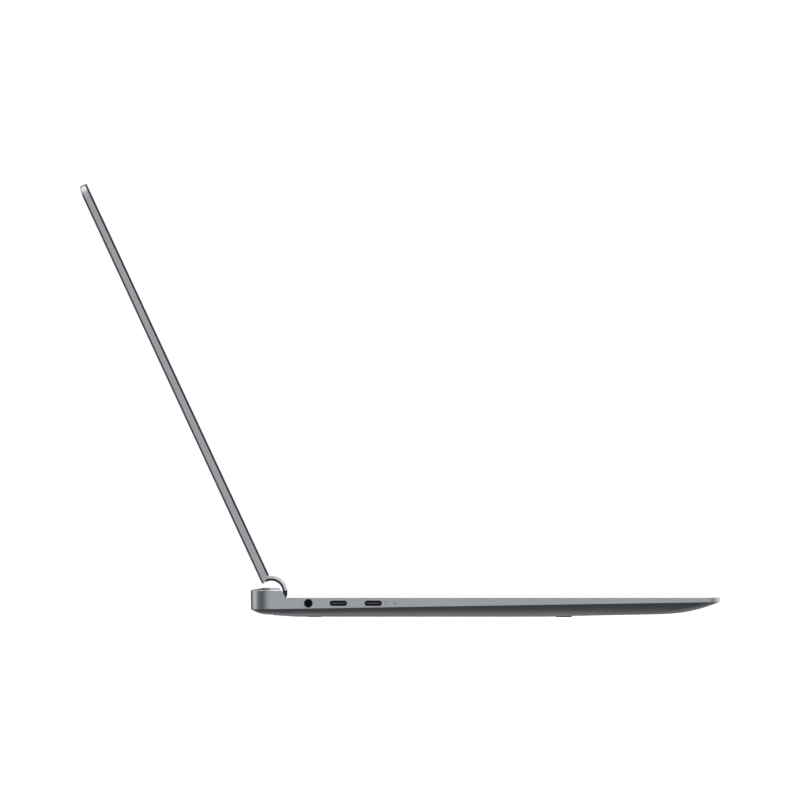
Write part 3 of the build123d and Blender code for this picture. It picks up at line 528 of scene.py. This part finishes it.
def add_floor():
    """A wide pale floor, clear from below. Reflections see the dark half of the studio in its place."""
    mesh = bpy.data.meshes.new("studio_floor")
    corners = [(x * FLOOR_REACH, y * FLOOR_REACH, 0) for x, y in ((-1, -1), (1, -1), (1, 1), (-1, 1))]
    mesh.from_pydata(corners, [], [(0, 1, 2, 3)])
    floor = add_object("studio_floor", mesh)
    material, tree, shader = new_material("pale_floor", FLOOR_WHITE, 0.0, 0.9)
    varied(tree, shader, FLOOR_WHITE, 0.01, 3)
    shader.inputs["Specular IOR Level"].default_value = 0.0
    one_sided = node(tree, "ShaderNodeMixShader")
    tree.links.new(node(tree, "ShaderNodeNewGeometry").outputs["Backfacing"], one_sided.inputs[0])
    tree.links.new(shader.outputs["BSDF"], one_sided.inputs[1])
    tree.links.new(node(tree, "ShaderNodeBsdfTransparent").outputs["BSDF"], one_sided.inputs[2])
    tree.links.new(one_sided.outputs["Shader"], tree.nodes["Material Output"].inputs["Surface"])
    mesh.materials.append(material)
    floor.visible_glossy = False


def add_studio_light():
    """A white studio: pale all round, brighter overhead, dim below, with panels and gaps behind.

    The camera itself sees plain white."""
    world = bpy.data.worlds.new("studio")
    bpy.context.scene.world = world
    world.use_nodes = True
    tree = world.node_tree
    background = tree.nodes["Background"]
    direction = node(tree, "ShaderNodeTexCoord")
    parts = node(tree, "ShaderNodeSeparateXYZ")
    tree.links.new(direction.outputs["Generated"], parts.inputs["Vector"])
    x, y, z = parts.outputs
    height = math_node(tree, "MULTIPLY_ADD", z, 0.5)
    height.node.inputs[2].default_value = 0.5
    turn = math_node(tree, "ARCTAN2", y, math_node(tree, "MULTIPLY", x, -1.0))
    around = math_node(tree, "MULTIPLY_ADD", turn, 0.5 / math.pi)
    around.node.inputs[2].default_value = 0.5
    level = ramp(tree, height, LIGHT_BY_HEIGHT)
    sides = ramp(tree, around, [(0.5 + degrees / 360, value) for degrees, value in LIGHT_BY_BEARING])
    overhead = ramp(tree, height, [(SIDES_END_HEIGHT, 0.0), (OVERHEAD_HEIGHT, 1.0)])
    rest = math_node(tree, "MULTIPLY", math_node(tree, "SUBTRACT", 1.0, sides), overhead)
    light = math_node(tree, "MULTIPLY", level, math_node(tree, "ADD", sides, rest))
    view = node(tree, "ShaderNodeLightPath").outputs["Is Camera Ray"]
    backdrop = math_node(tree, "MULTIPLY", math_node(tree, "SUBTRACT", 1.0, light), view)
    tree.links.new(math_node(tree, "ADD", light, backdrop), background.inputs["Strength"])
    background.inputs["Color"].default_value = (1.0, 1.0, 1.0, 1)


def add_soft_sun(name, come_from, spread_degrees, strength):
    """An even, very soft light from one direction."""
    lamp = bpy.data.lights.new(name, "SUN")
    lamp.angle = math.radians(spread_degrees)
    lamp.energy = strength
    holder = add_object(name, lamp)
    holder.rotation_mode = "QUATERNION"
    holder.rotation_quaternion = Vector(come_from).to_track_quat("Z", "Y")


def add_camera():
    """Far away on the user's left, level with the deck and in line with the hinge."""
    camera = bpy.data.cameras.new("camera")
    holder = add_object("camera", camera)
    bpy.context.scene.camera = holder
    camera.lens = LENS
    camera.sensor_width = SENSOR_WIDTH
    rear_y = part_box("top_case")[1].y
    near_x = cad_low.x
    distance = FRAME_WIDTH / 2 / (SENSOR_WIDTH / 2 / LENS)
    eye = Vector((near_x - distance, rear_y - EYE_FORWARD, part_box("touchpad")[1].z))
    aim = Vector((near_x, rear_y - AIM_FORWARD, AIM_HEIGHT))
    holder.location = eye
    holder.rotation_mode = "QUATERNION"
    holder.rotation_quaternion = (eye - aim).to_track_quat("Z", "Y")
    camera.clip_start, camera.clip_end = CLIP_RANGE


paint()
add_legends()
add_port_mark()
add_floor()
add_studio_light()
add_soft_sun("overhead_light", SUN_FROM, SUN_SPREAD, SUN_STRENGTH)
add_camera()
bpy.context.scene.view_settings.view_transform = "Standard"
